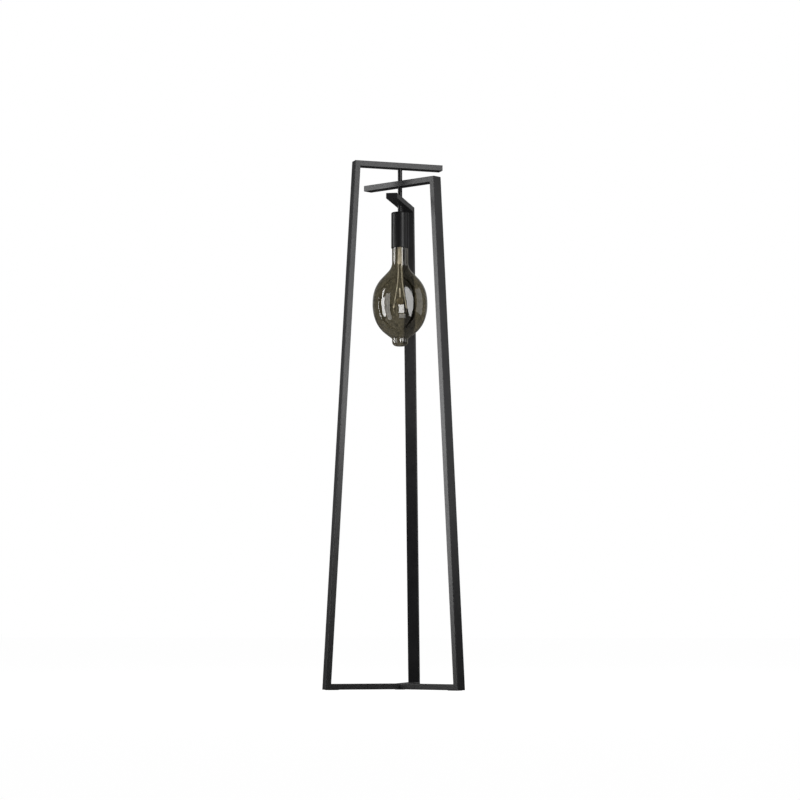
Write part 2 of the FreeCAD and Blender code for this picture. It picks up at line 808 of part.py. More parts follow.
def glass_profile(inset):
    """Half outline of the glass, inset from its outside: from the widest level up and down to its ends."""
    wall = inset * size("glass_wall")
    start = (size("globe_radius") - wall, 0, cap_bottom() - size("globe_drop"))
    slope = math.radians(size("shoulder_angle"))
    first = size("upper_arc_radius")
    second = size("shoulder_radius")
    throat = size("throat_radius")
    turn_one = math.radians(size("upper_arc_angle"))
    inward = first * (1 - math.cos(turn_one)) + second * (math.cos(turn_one) - math.cos(slope))
    inward += throat * (1 - math.cos(slope))
    run = (size("globe_radius") - size("neck_radius") - inward) / math.sin(slope)
    up, neck = walk(start, 0, [
        ("arc", first - wall, size("upper_arc_angle"), 1),
        ("arc", second - wall, size("shoulder_angle"), 1),
        ("line", run),
        ("arc", throat + wall, 0, -1),
    ])
    cone_low = V(neck.x, 0, cap_bottom() - size("neck_cone_height"))
    cone_top = V(size("thread_root_radius") - wall, 0, cap_bottom() - wall)
    plug = size("cap_bore_radius") - size("slip") - wall
    points = [neck, cone_low, cone_top]
    if inset:
        points.append(V(plug, 0, cap_bottom() - wall))
    else:
        points.append(V(plug, 0, cap_bottom()))
    points.append(V(plug, 0, cap_bottom() + size("neck_plug_height")))
    up += [Part.LineSegment(a, b).toShape() for a, b in zip(points, points[1:])]

    slope = math.radians(size("bottom_angle"))
    first = size("belly_radius")
    second = size("bottom_radius")
    throat = size("tip_throat_radius")
    turn_one = math.radians(size("belly_angle"))
    inward = first * (1 - math.cos(turn_one)) + second * (math.cos(turn_one) - math.cos(slope))
    inward += throat * (1 - math.cos(slope))
    run = (size("globe_radius") - size("tip_radius") - inward) / math.sin(slope)
    rounding = size("tip_rounding") - wall
    down, bottom = walk(start, 0, [
        ("arc", first - wall, -size("belly_angle"), 1),
        ("arc", second - wall, -size("bottom_angle"), 1),
        ("line", -run),
        ("arc", throat + wall, 0, -1),
        ("line", size("tip_rounding") - size("tip_length")),
        ("arc", rounding, -90, 1),
    ])
    down.append(Part.LineSegment(bottom, V(0, 0, bottom.z)).toShape())
    return up, points[-1], down, V(0, 0, bottom.z)


def bulb_glass():
    """Blown globe with a long neck above and a short round tip below, one wall thick all over."""
    outer_up, outer_end, outer_down, outer_low = glass_profile(0)
    inner_up, inner_end, inner_down, inner_low = glass_profile(1)
    edges = outer_up + outer_down + inner_up + inner_down
    edges.append(Part.LineSegment(outer_end, inner_end).toShape())
    edges.append(Part.LineSegment(outer_low, inner_low).toShape())
    wire = Part.Wire(Part.__sortEdges__(edges))
    solid = Part.Face(wire).revolve(V(0, 0, 0), V(0, 0, 1), 360)
    glass = doc.addObject("Part::Feature", "bulb_glass")
    glass.Shape = solid
    keep(glass, "bulb_glass")


def bulb_stem():
    """Glass tube flared out to the neck's plug, closed at its lower end, where the leads come out."""
    top = f"{CAP_BOTTOM} + neck_plug_height"
    flare = f"{CAP_BOTTOM} - stem_flare_height"
    turned_piece(
        "bulb_stem",
        [
            ("stem_flare_radius - stem_wall", top),
            ("stem_flare_radius", top),
            ("stem_radius", flare),
            ("stem_radius", f"{STEM_LEVEL} + stem_radius"),
            ("stem_end_radius", STEM_LEVEL),
            ("0", STEM_LEVEL),
            ("0", f"{STEM_LEVEL} + stem_radius"),
            ("stem_radius - stem_wall", f"{STEM_LEVEL} + 2 * stem_radius"),
            ("stem_radius - stem_wall", flare),
        ],
    )
    keep(cylinder("rod_radius", f"{STEM_LEVEL} - {BUTTON_TOP}", BUTTON_TOP), "stem_rod")
    turned_piece(
        "stem_button",
        [
            ("0", BUTTON_TOP),
            ("button_radius / 3", BUTTON_TOP),
            ("button_radius", f"{BUTTON_TOP} - button_radius / 2"),
            ("button_radius", BUTTON_LEVEL),
            ("button_radius - stem_wall", BUTTON_LEVEL),
            ("button_radius - stem_wall", f"{BUTTON_TOP} - button_radius / 2 - stem_wall"),
            ("0", f"{BUTTON_TOP} - 2 * stem_wall"),
        ],
    )


def wire_along(points, radius, bends):
    """Round wire along straight runs, with a tangent arc at each inner point."""
    edges = []
    here = points[0]
    for before, corner, after, bend in zip(points, points[1:], points[2:], bends):
        into = (corner - before).normalize()
        out = (after - corner).normalize()
        half = into.getAngle(out) / 2
        cut = bend * math.tan(half)
        start = corner - into * cut
        end = corner + out * cut
        middle_way = (out - into).normalize()
        centre = corner + middle_way * (bend / math.cos(half))
        edges.append(Part.LineSegment(here, start).toShape())
        edges.append(Part.Arc(start, centre - middle_way * bend, end).toShape())
        here = end
    edges.append(Part.LineSegment(here, points[-1]).toShape())
    path = Part.Wire(edges)
    first = (points[1] - points[0]).normalize()
    circle = Part.Wire(Part.makeCircle(radius, points[0], first))
    return path.makePipeShell([circle], True, False), path.Length


def largest_bends(points, share=0.45):
    """The largest even bend at each inner point that its two runs allow."""
    bends = []
    for before, corner, after in zip(points, points[1:], points[2:]):
        run = min((corner - before).Length, (after - corner).Length)
        half = (corner - before).getAngle(after - corner) / 2
        bends.append(share * run / math.tan(half))
    return bends


def in_lead_plane(across, up):
    """A point of the upright plane that the leads of the bulb lie in."""
    swing = math.radians(size("lead_turn"))
    return V(across * math.cos(swing), across * math.sin(swing), up)


# How a lead spreads as it falls: at each share of its fall, the share of its way out to just clear of the
# button, and then of the way on from there to its tip.
TO_BUTTON = {0: 0, 0.25: 0.1, 0.48: 0.33, 0.72: 1}
TO_TIP = {0.87: 0.5, 1: 1}


def lead_bottom():
    """Level where the leads end and the sleeves on their tips begin, as a number."""
    return cap_bottom() - size("button_drop") - size("lead_past_button")


def lead_route(side):
    """One lead, from just under the end of the stem down and outwards past the button to its tip."""
    low, high = lead_bottom(), cap_bottom() - size("stem_drop") - size("slip")
    spread, top = size("lead_spread"), size("lead_top_spread")
    clear = size("button_radius") + 2 * size("lead_radius")
    places = [(top + (clear - top) * out, high - (high - low) * fall) for fall, out in TO_BUTTON.items()]
    places += [(clear + (spread - clear) * out, high - (high - low) * fall) for fall, out in TO_TIP.items()]
    return [in_lead_plane(side * across, up) for across, up in places]


def solids_piece(label, solids):
    piece = doc.addObject("Part::Feature", label)
    piece.Shape = solids[0] if len(solids) == 1 else Part.makeCompound(solids)
    keep(piece, label)


# Corners of the filament's loop, as shares of its sag: how high its sides start to turn in, and how far.
FILAMENT_RISE = 0.3
FILAMENT_SLANT = 0.1875


def bulb_leads():
    """Two leads, the sleeves on their tips, the filament between them and the hooks that hold it."""
    leads, tips, ends = [], [], []
    for side in (-1, 1):
        route = lead_route(side)
        lead, _ = wire_along(route, size("lead_radius"), largest_bends(route))
        leads.append(lead)
        way = (route[-1] - route[-2]).normalize()
        tips.append(Part.makeCylinder(size("tip_sleeve_radius"), size("tip_sleeve_length"), route[-1], way))
        ends.append((route[-1] + way * size("tip_sleeve_length"), way))
    solids_piece("lead_wires", leads)
    solids_piece("lead_tips", tips)

    low = lead_bottom() - size("filament_sag")
    half = size("lead_spread")
    reach = half - size("filament_sag") * FILAMENT_SLANT
    rise = low + size("filament_sag") * FILAMENT_RISE
    (left, left_way), (right, right_way) = ends
    lead_in = size("tip_sleeve_length") / 2
    loop = [
        left,
        left + left_way * lead_in,
        in_lead_plane(-half, rise),
        in_lead_plane(-reach, low),
        in_lead_plane(reach, low),
        in_lead_plane(half, rise),
        right + right_way * lead_in,
        right,
    ]
    filament, _ = wire_along(loop, size("filament_radius"), largest_bends(loop))
    solids_piece("filament", [filament])

    hooks = []
    radius = size("hook_radius")
    wall = size("button_radius") - size("stem_wall") / 2
    for side in (-1, 1):
        top = in_lead_plane(side * wall, cap_bottom() - size("button_drop"))
        bottom = in_lead_plane(side * wall, low + size("filament_radius") + size("hook_gap"))
        hooks.append(Part.makeCylinder(radius, (top - bottom).Length, bottom))
    solids_piece("filament_hooks", hooks)


# --- Wiring inside the tubes --------------------------------------------------------------------------

def leg_frame_point(along, inward):
    """A point in the rear leg's plane, by its distance along the outer face and its depth behind it."""
    rise = height_of("lower") - size("pad_thickness")
    angle = math.atan((size("foot_reach") - size("top_reach")) / rise)
    reach = size("foot_reach") - along * math.sin(angle) - inward * math.cos(angle)
    up = size("pad_thickness") + along * math.cos(angle) - inward * math.sin(angle)
    swing = math.radians(size("lower_turn"))
    return V(reach * math.cos(swing), reach * math.sin(swing), up)


def internal_flex():
    """Flex from the contact block up the pipe, along the lower bar and down the rear leg to its block."""
    level = height_of("lower") - size("tube_depth") / 2
    skirt_top = height_of("lower") - size("tube_depth") - size("cover_gap") - size("cover_wall")
    skirt_top -= size("holder_cap_height")
    depth = size("tube_wall") + size("block_depth") / 2
    low = leg_frame_point(size("block_level") + size("block_length"), depth)
    higher = leg_frame_point(size("block_level") + 2 * size("block_length"), depth)
    way = higher - low
    corner = low + way * ((level - low.z) / way.z)
    points = [V(0, 0, skirt_top), V(0, 0, level), corner, low]
    bends = [size("flex_turn_radius"), size("flex_corner_radius")]
    flex, length = wire_along(points, size("flex_radius"), bends)
    section = math.pi * size("flex_radius") ** 2
    print(f"internal flex: {length:.1f} mm long, volume {flex.Volume:.1f} against {section * length:.1f} mm3")
    solids_piece("internal_flex", [flex])


def terminal_block():
    """Terminal block inside the rear leg, resting against its outer wall."""
    body = new_body("terminal_block")
    top = "block_level + block_length"
    corners = [
        leg_point("lower", "block_level", "tube_wall"),
        leg_point("lower", top, "tube_wall"),
        leg_point("lower", top, "tube_wall + block_depth"),
        leg_point("lower", "block_level", "tube_wall + block_depth"),
    ]
    thicken(body, corners, "block_width")
    keep(turned_to(body, "lower"), "terminal_block")


def gland_stem(radius, length, out):
    """Cylinder square to the rear leg's outer face; it starts out behind that face, minus in front of it."""
    piece = doc.addObject("Part::Cylinder", "stem")
    across, up = leg_point("lower", "gland_level", f"({out}) + ({length})")
    piece.Placement.Rotation = FreeCAD.Rotation(V(1, 0, 0), -80)
    bind(
        piece,
        Radius=radius,
        Height=length,
        Placement__Base__x=f"({across}) * cos(lower_turn)",
        Placement__Base__y=f"({across}) * sin(lower_turn)",
        Placement__Base__z=up,
        Placement__Rotation__Angle=f"{lean('lower')} - 90 deg",
    )
    return piece


def cable_gland():
    """Bush for a mains lead, through the outer wall of the rear leg: two flanges and a neck between them."""
    flange = "gland_flange_height"
    outer = gland_stem("gland_flange_radius", flange, f"-{flange}")
    neck = gland_stem("gland_neck_radius", "tube_wall", "0")
    inner = gland_stem("gland_flange_radius - gland_flange_step", flange, "tube_wall")
    bore = gland_stem("gland_bore_radius", f"4 * {flange} + tube_wall", f"-2 * {flange}")
    keep(without(joined([outer, neck, inner]), bore), "cable_gland")


# --- The lamp -----------------------------------------------------------------------------------------

for frame in FRAMES:
    top_bar(frame)
    leg(frame)
    base_bar(frame)
    end_cap(frame)
base_spider()
base_screws()
foot_pads()
centre_pad()
centre_pipe()
top_nut()
sleeves()
holder_cover()
lampholder()
terminal_screws()
screw_shell()
centre_contact()
bulb_cap()
bulb_cap_top()
bulb_glass()
bulb_stem()
bulb_leads()
internal_flex()
terminal_block()
cable_gland()
doc.recompute()

faults = [f"{item.Label}: {item.State}" for item in doc.Objects if {"Invalid", "Error"} & set(item.State)]
for piece in nodes:
    if piece.Shape.isNull() or not piece.Shape.isValid() or not piece.Shape.Solids:
        faults.append(f"{piece.Label}: no valid solid")
if faults:
    raise RuntimeError("; ".join(faults))

os.makedirs("parts", exist_ok=True)
for piece in nodes:
    piece.Shape.exportStep(f"parts/{piece.Label}.step")
print(f"{len(nodes)} pieces written")
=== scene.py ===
"""Floor lamp of three flat tube frames and a smoked globe bulb, lit for a studio picture.

+Z up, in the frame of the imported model. The lamp's own sizes are named in millimetres, as on a
drawing, and MM turns them into metres. The camera's and the studio's are named in metres.
"""
import math

import bmesh
import bpy
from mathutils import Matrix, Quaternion, Vector


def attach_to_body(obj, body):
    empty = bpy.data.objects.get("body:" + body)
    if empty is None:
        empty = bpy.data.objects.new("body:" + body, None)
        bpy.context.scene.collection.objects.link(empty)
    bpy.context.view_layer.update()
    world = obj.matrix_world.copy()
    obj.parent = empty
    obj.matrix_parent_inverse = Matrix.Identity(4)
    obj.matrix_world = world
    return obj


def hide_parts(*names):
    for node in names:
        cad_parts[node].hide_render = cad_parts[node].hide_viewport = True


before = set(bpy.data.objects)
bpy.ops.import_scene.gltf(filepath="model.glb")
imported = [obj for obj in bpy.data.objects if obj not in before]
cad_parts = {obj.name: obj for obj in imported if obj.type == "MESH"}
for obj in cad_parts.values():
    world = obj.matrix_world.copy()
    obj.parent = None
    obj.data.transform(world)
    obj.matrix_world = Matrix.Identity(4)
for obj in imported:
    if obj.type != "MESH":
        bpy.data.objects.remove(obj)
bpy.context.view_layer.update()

MM = 0.001


# --- Camera -------------------------------------------------------------------------------------

CAMERA_AZIMUTH = 10.93  # degrees round the lamp, 0 in front of it
CAMERA_DISTANCE = 6.896
CAMERA_HEIGHT = 0.1517
CAMERA_PITCH = 5.08  # degrees above level
CAMERA_LENS = 117.27  # millimetres


def round_the_lamp(azimuth, distance, height):
    """A place by its angle round the lamp, 0 in front and 90 on the right, distance and height."""
    swing = math.radians(azimuth)
    return Vector((distance * math.sin(swing), -distance * math.cos(swing), height))


def make_camera():
    data = bpy.data.cameras.new("camera")
    data.lens = CAMERA_LENS
    camera = bpy.data.objects.new("camera", data)
    camera.location = round_the_lamp(CAMERA_AZIMUTH, CAMERA_DISTANCE, CAMERA_HEIGHT)
    camera.rotation_euler = (math.radians(90 + CAMERA_PITCH), 0, math.radians(CAMERA_AZIMUTH))
    bpy.context.scene.collection.objects.link(camera)
    bpy.context.scene.camera = camera


# --- Nodes and materials ------------------------------------------------------------------------

# A Mix node has its inputs once for levels and once for colours, under the same names.
LEVEL_A, LEVEL_B = 2, 3
COLOUR_A, COLOUR_B = 6, 7
MIXED_COLOUR = 2

# Most of a noise's values lie between these.
NOISE_LOW, NOISE_HIGH = 0.3, 0.7


def srgb(code):
    """Linear colour of an sRGB hex code."""
    linear = []
    for start in (0, 2, 4):
        share = int(code[start:start + 2], 16) / 255
        linear.append(share / 12.92 if share <= 0.04045 else ((share + 0.055) / 1.055) ** 2.4)
    return (*linear, 1)


def add(tree, kind, inputs=(), **settings):
    """Adds a node with its settings, and with its inputs as values or as sockets to link from."""
    node = tree.nodes.new(kind)
    for name, value in settings.items():
        setattr(node, name, value)
    for name, value in dict(inputs).items():
        if isinstance(value, bpy.types.NodeSocket):
            tree.links.new(value, node.inputs[name])
        else:
            node.inputs[name].default_value = value
    return node


def start_material(name, **shader):
    """A material with one Principled shader. Underscores join the words of a socket's name."""
    made = bpy.data.materials.new(name)
    made.use_nodes = True
    tree = made.node_tree
    tree.nodes.clear()
    plain = {
        word.replace("_", " ").title().replace("Ior", "IOR"): value
        for word, value in shader.items()
    }
    surface = add(tree, "ShaderNodeBsdfPrincipled", plain)
    add(tree, "ShaderNodeOutputMaterial", {"Surface": surface.outputs[0]})
    place = add(tree, "ShaderNodeTexCoord").outputs["Object"]
    return made, tree, surface, place


def per_metre(millimetres):
    """Scale of a pattern whose features are that far apart."""
    return 1 / (millimetres * MM)


def powder_coat(name, dark, light, roughness, peel, sheen):
    """Black polyester powder coat, sprayed and baked on steel: satin, with a fine orange peel that
    breaks up reflections. The real peel is about 1 mm and is drawn coarser, so that it shows."""
    cloud_size, peel_depth, roughness_spread = 60, 0.2, 0.05
    made, tree, surface, place = start_material(name, specular_ior_level=sheen)
    skin = add(tree, "ShaderNodeTexNoise", {
        "Vector": place, "Scale": per_metre(peel), "Detail": 3, "Roughness": 0.6,
    })
    cloud = add(tree, "ShaderNodeTexNoise", {
        "Vector": place, "Scale": per_metre(cloud_size), "Detail": 2,
    })
    tone = add(tree, "ShaderNodeMapRange", {
        "Value": cloud.outputs[0], "From Min": NOISE_LOW, "From Max": NOISE_HIGH,
    })
    colour = add(tree, "ShaderNodeMix", {
        "Factor": tone.outputs[0], COLOUR_A: srgb(dark), COLOUR_B: srgb(light),
    }, data_type="RGBA")
    gloss = add(tree, "ShaderNodeMapRange", {
        "Value": skin.outputs[0], "From Min": NOISE_LOW, "From Max": NOISE_HIGH,
        "To Min": roughness - roughness_spread, "To Max": roughness + roughness_spread,
    })
    bump = add(tree, "ShaderNodeBump", {
        "Height": skin.outputs[0], "Strength": 0.25, "Distance": peel_depth * MM,
    })
    tree.links.new(colour.outputs[MIXED_COLOUR], surface.inputs["Base Color"])
    tree.links.new(gloss.outputs[0], surface.inputs["Roughness"])
    tree.links.new(bump.outputs[0], surface.inputs["Normal"])
    return made


def zinc_plate():
    """Bright zinc on steel: pale blue-grey metal with a faint cloudy passivation."""
    cloud_size, bright, dull = 5, 0.28, 0.48
    made, tree, surface, place = start_material("zinc_plated_steel", metallic=1.0)
    cloud = add(tree, "ShaderNodeTexNoise", {
        "Vector": place, "Scale": per_metre(cloud_size), "Detail": 4,
    })
    colour = add(tree, "ShaderNodeMix", {
        "Factor": cloud.outputs[0], COLOUR_A: srgb("a6a9ad"), COLOUR_B: srgb("c2c3bf"),
    }, data_type="RGBA")
    gloss = add(tree, "ShaderNodeMapRange", {
        "Value": cloud.outputs[0], "To Min": bright, "To Max": dull,
    })
    tree.links.new(colour.outputs[MIXED_COLOUR], surface.inputs["Base Color"])
    tree.links.new(gloss.outputs[0], surface.inputs["Roughness"])
    return made


def moulded(name, dark, light, roughness, grain, depth, **shader):
    """Moulded or fired material with an even fine grain: two close tones, and the grain as bump."""
    made, tree, surface, place = start_material(name, roughness=roughness, **shader)
    skin = add(tree, "ShaderNodeTexNoise", {
        "Vector": place, "Scale": per_metre(grain), "Detail": 4,
    })
    colour = add(tree, "ShaderNodeMix", {
        "Factor": skin.outputs[0], COLOUR_A: srgb(dark), COLOUR_B: srgb(light),
    }, data_type="RGBA")
    bump = add(tree, "ShaderNodeBump", {
        "Height": skin.outputs[0], "Strength": 0.4, "Distance": depth * MM,
    })
    tree.links.new(colour.outputs[MIXED_COLOUR], surface.inputs["Base Color"])
    tree.links.new(bump.outputs[0], surface.inputs["Normal"])
    return made


def drawn_metal(name, dark, light, roughness, line):
    """Bare metal that was drawn or spun: fine rings round it, a little darker where it has
    tarnished."""
    tarnish_size, roughness_spread = 4, 0.12
    made, tree, surface, place = start_material(name, metallic=1.0)
    lines = add(tree, "ShaderNodeTexWave", {
        "Vector": place, "Scale": per_metre(line) / math.tau, "Distortion": 2.0, "Detail": 2.0,
    }, bands_direction="Z")
    cloud = add(tree, "ShaderNodeTexNoise", {
        "Vector": place, "Scale": per_metre(tarnish_size), "Detail": 3,
    })
    colour = add(tree, "ShaderNodeMix", {
        "Factor": cloud.outputs[0], COLOUR_A: srgb(dark), COLOUR_B: srgb(light),
    }, data_type="RGBA")
    gloss = add(tree, "ShaderNodeMapRange", {
        "Value": lines.outputs["Fac"],
        "To Min": roughness, "To Max": roughness + roughness_spread,
    })
    tree.links.new(colour.outputs[MIXED_COLOUR], surface.inputs["Base Color"])
    tree.links.new(gloss.outputs[0], surface.inputs["Roughness"])
    return made


def let_lamps_through(tree, surface, tint):
    """Shadow rays pass the glass as a tinted pane, so that the lamps light what is behind it."""
    rays = add(tree, "ShaderNodeLightPath")
    pane = add(tree, "ShaderNodeBsdfTransparent", {"Color": srgb(tint)})
    both = add(tree, "ShaderNodeMixShader", {
        0: rays.outputs["Is Shadow Ray"], 1: surface.outputs[0], 2: pane.outputs[0],
    })
    tree.links.new(both.outputs[0], tree.nodes["Material Output"].inputs["Surface"])


def smoked_glass():
    """Soda-lime glass, blown, with a thin brown-grey smoke coating: it darkens what is behind it,
    most at its edges, and the coating is slightly mottled. The IOR is above that of the glass,
    because the coating reflects more than bare glass does."""
    mottle_size = 7
    mottle_low, mottle_high = 0.4, 0.6  # of the noise's values, which gives spots with soft edges
    rim_start = 0.6  # how far a face is turned away where the glass starts to look thicker
    made, tree, surface, place = start_material(
        "smoked_glass", transmission_weight=1.0, ior=1.62, roughness=0.015,
        specular_ior_level=0.8)
    mottle = add(tree, "ShaderNodeTexNoise", {
        "Vector": place, "Scale": per_metre(mottle_size),
        "Detail": 6, "Roughness": 0.8, "Distortion": 1.2,
    })
    tone = add(tree, "ShaderNodeMapRange", {
        "Value": mottle.outputs[0], "From Min": mottle_low, "From Max": mottle_high,
    })
    colour = add(tree, "ShaderNodeMix", {
        "Factor": tone.outputs[0], COLOUR_A: srgb("757162"), COLOUR_B: srgb("b8b2a1"),
    }, data_type="RGBA")
    edge = add(tree, "ShaderNodeLayerWeight", {"Blend": 0.5}).outputs["Facing"]
    thick = add(tree, "ShaderNodeMapRange", {
        "Value": edge, "From Min": rim_start, "From Max": 1.0,
    })
    deep = add(tree, "ShaderNodeMix", {
        "Factor": thick.outputs[0], COLOUR_A: colour.outputs[MIXED_COLOUR],
        COLOUR_B: srgb("45413a"),
    }, data_type="RGBA")
    tree.links.new(deep.outputs[MIXED_COLOUR], surface.inputs["Base Color"])
    let_lamps_through(tree, surface, "fffdf8")
    return made


def lamp_glass(name, dark, light, clearness):
    """Lead glass of the inner parts, clear where it was drawn, in two close tones, with smooth and
    dull patches. Where it was pressed round the wires it is drawn milky white, a painted reflection
    of the light that the clear glass there mirrors."""
    patch_size, smoothest, dullest = 3, 0.15, 0.3
    made, tree, surface, place = start_material(name, transmission_weight=clearness, ior=1.52)
    patches = add(tree, "ShaderNodeTexNoise", {
        "Vector": place, "Scale": per_metre(patch_size), "Detail": 2,
    })
    colour = add(tree, "ShaderNodeMix", {
        "Factor": patches.outputs[0], COLOUR_A: srgb(dark), COLOUR_B: srgb(light),
    }, data_type="RGBA")
    gloss = add(tree, "ShaderNodeMapRange", {
        "Value": patches.outputs[0], "To Min": smoothest, "To Max": dullest,
    })
    tree.links.new(colour.outputs[MIXED_COLOUR], surface.inputs["Base Color"])
    tree.links.new(gloss.outputs[0], surface.inputs["Roughness"])
    let_lamps_through(tree, surface, "efece4")
    return made


# --- Pieces -------------------------------------------------------------------------------------

SAME_PLACE = 0.001  # corners that close together are one
SAME_PLANE = 0.5  # degrees between triangles that are one flat face
SHARP_EDGE = 35  # degrees from which an edge is eased


def new_object(name, mesh, finish):
    """Links a mesh into the scene under one material."""
    mesh.materials.clear()
    mesh.materials.append(finish)
    made = bpy.data.objects.new(name, mesh)
    bpy.context.scene.collection.objects.link(made)
    return made


def smooth(mesh, angle=30):
    mesh.shade_smooth()
    mesh.set_sharp_from_angle(angle=math.radians(angle))


def attach(piece, body, slot, *nodes):
    """Makes a finished piece ride on its body, in place of the nodes that it stands for."""
    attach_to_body(piece, body)
    if nodes:
        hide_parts(*nodes)
    return piece


def as_plain_mesh(piece):
    """The piece as its modifiers or its curve leave it, as a plain mesh."""
    evaluated = piece.evaluated_get(bpy.context.evaluated_depsgraph_get())
    mesh = bpy.data.meshes.new_from_object(evaluated)
    if piece.type == "MESH":
        piece.modifiers.clear()
        piece.data = mesh
        return piece
    name, finish = piece.name, piece.data.materials[0]
    bpy.data.objects.remove(piece)
    return new_object(name, mesh, finish)


def close_skin(mesh, angle=30):
    """Joins a mesh's doubled corners, turns its faces outwards and smooths it up to an angle."""
    form = bmesh.new()
    form.from_mesh(mesh)
    bmesh.ops.remove_doubles(form, verts=form.verts, dist=SAME_PLACE * MM)
    bmesh.ops.recalc_face_normals(form, faces=form.faces)
    form.to_mesh(mesh)
    form.free()
    smooth(mesh, angle)


def eased_copy(node, name, finish, chamfer):
    """A copy of a node in one closed skin: sharp edges eased, and flat faces shaded flat."""
    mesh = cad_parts[node].data.copy()
    if mesh.attributes.get("custom_normal"):
        mesh.attributes.remove(mesh.attributes["custom_normal"])
    form = bmesh.new()
    form.from_mesh(mesh)
    bmesh.ops.remove_doubles(form, verts=form.verts, dist=SAME_PLACE * MM)
    bmesh.ops.dissolve_limit(
        form, angle_limit=math.radians(SAME_PLANE), verts=form.verts, edges=form.edges,
        use_dissolve_boundaries=False)
    form.to_mesh(mesh)
    form.free()
    mesh.shade_smooth()
    piece = new_object(name, mesh, finish)
    bevel = piece.modifiers.new("eased", "BEVEL")
    bevel.width = chamfer * MM
    bevel.segments = 2
    bevel.limit_method = "ANGLE"
    bevel.angle_limit = math.radians(SHARP_EDGE)
    flat = piece.modifiers.new("flat", "WEIGHTED_NORMAL")
    flat.weight = 100
    return as_plain_mesh(piece)


def lathe(name, outline, steps):
    """A closed shape turned about the lamp's axis from a millimetre outline of (radius, height)."""
    form = bmesh.new()
    rings = []
    for radius, height in outline:
        if radius < SAME_PLACE:
            rings.append([form.verts.new((0, 0, height * MM))])
            continue
        ring = []
        for step in range(steps):
            swing = math.tau * step / steps
            ring.append(form.verts.new((
                radius * MM * math.cos(swing), radius * MM * math.sin(swing), height * MM)))
        rings.append(ring)
    for ring, following in zip(rings, rings[1:] + rings[:1]):
        if len(ring) == len(following) == 1:
            continue
        for step in range(steps):
            after = (step + 1) % steps
            corners = [ring[step % len(ring)], ring[after % len(ring)],
                       following[after % len(following)], following[step % len(following)]]
            form.faces.new(list(dict.fromkeys(corners)))
    bmesh.ops.recalc_face_normals(form, faces=form.faces)
    mesh = bpy.data.meshes.new(name)
    form.to_mesh(mesh)
    form.free()
    return mesh


def wires(name, finish, routes, radius):
    """Round wires along smooth lines that millimetre points draw towards them."""
    curve = bpy.data.curves.new(name, "CURVE")
    curve.dimensions = "3D"
    curve.bevel_depth = radius * MM
    curve.bevel_resolution = 4
    curve.use_fill_caps = True
    for route in routes:
        line = curve.splines.new("NURBS")
        line.points.add(len(route) - 1)
        for point, place in zip(line.points, route):
            point.co = (*(Vector(place) * MM), 1)
        line.order_u = 3
        line.use_endpoint_u = True
        line.resolution_u = 6
    curve.materials.append(finish)
    piece = bpy.data.objects.new(name, curve)
    bpy.context.scene.collection.objects.link(piece)
    piece = as_plain_mesh(piece)
    close_skin(piece.data, angle=60)
    return piece


def grown(name, finish, build, sizes, start=None):
    """A piece that Geometry Nodes make from named millimetre sizes, turned into a plain mesh."""
    tree = bpy.data.node_groups.new(name, "GeometryNodeTree")
    tree.interface.new_socket(name="Form", in_out="OUTPUT", socket_type="NodeSocketGeometry")
    tree.interface.new_socket(name="Form", in_out="INPUT", socket_type="NodeSocketGeometry")
    sockets = [
        tree.interface.new_socket(name=size, in_out="INPUT", socket_type="NodeSocketFloat")
        for size in sizes
    ]
    given = add(tree, "NodeGroupInput")
    form = build(tree, given.outputs)
    whole = add(tree, "GeometryNodeRealizeInstances", {"Geometry": form})
    painted = add(tree, "GeometryNodeSetMaterial", {
        "Geometry": whole.outputs[0], "Material": finish,
    })
    add(tree, "NodeGroupOutput", {"Form": painted.outputs[0]})
    piece = new_object(name, start or bpy.data.meshes.new(name), finish)
    modifier = piece.modifiers.new("grown", "NODES")
    modifier.node_group = tree
    for socket in sockets:
        modifier[socket.identifier] = sizes[socket.name] * MM
    as_plain_mesh(piece)
    close_skin(piece.data)
    return piece


def on_each_frame(tree, form):
    """The form three times round the lamp's axis, in line with the frames."""
    points = add(tree, "GeometryNodePoints", {"Count": 3})
    number = add(tree, "GeometryNodeInputIndex")
    swing = add(tree, "ShaderNodeMath", {
        0: number.outputs[0], 1: math.tau / 3, 2: math.pi / 2,
    }, operation="MULTIPLY_ADD")
    way = add(tree, "ShaderNodeCombineXYZ", {"Z": swing.outputs[0]})
    return add(tree, "GeometryNodeInstanceOnPoints", {
        "Points": points.outputs[0], "Instance": form, "Rotation": way.outputs[0],
    }).outputs[0]


def moved(tree, form, across=None, up=None):
    """The form, moved outwards along +X and upwards by sockets."""
    place = add(tree, "ShaderNodeCombineXYZ", {
        key: value for key, value in (("X", across), ("Z", up)) if value is not None})
    return add(tree, "GeometryNodeTransform", {
        "Geometry": form, "Translation": place.outputs[0],
    }).outputs[0]


# --- Base ---------------------------------------------------------------------------------------

def base_screw(tree, given):
    """Countersunk screws with a hexagon socket, from beneath through the base bars into the
    connector."""
    head = add(tree, "GeometryNodeMeshCone", {
        "Vertices": 48, "Radius Bottom": given["Head radius"],
        "Radius Top": given["Shank radius"], "Depth": given["Head height"],
    })
    shank = add(tree, "GeometryNodeMeshCylinder", {
        "Vertices": 32, "Radius": given["Shank radius"], "Depth": given["Length"],
    })
    half = add(tree, "ShaderNodeMath", {0: given["Length"], 1: 0.5}, operation="MULTIPLY")
    whole = add(tree, "GeometryNodeMeshBoolean", {
        1: head.outputs[0],
    }, operation="UNION", solver="EXACT")
    tree.links.new(moved(tree, shank.outputs[0], up=half.outputs[0]), whole.inputs[1])
    socket = add(tree, "GeometryNodeMeshCylinder", {
        "Vertices": 6, "Radius": given["Socket radius"], "Depth": given["Head height"],
    })
    bored = add(tree, "GeometryNodeMeshBoolean", {
        0: whole.outputs[0], 1: socket.outputs[0],
    }, operation="DIFFERENCE", solver="EXACT")
    return on_each_frame(tree, moved(tree, bored.outputs[0], given["Reach"], given["Floor gap"]))


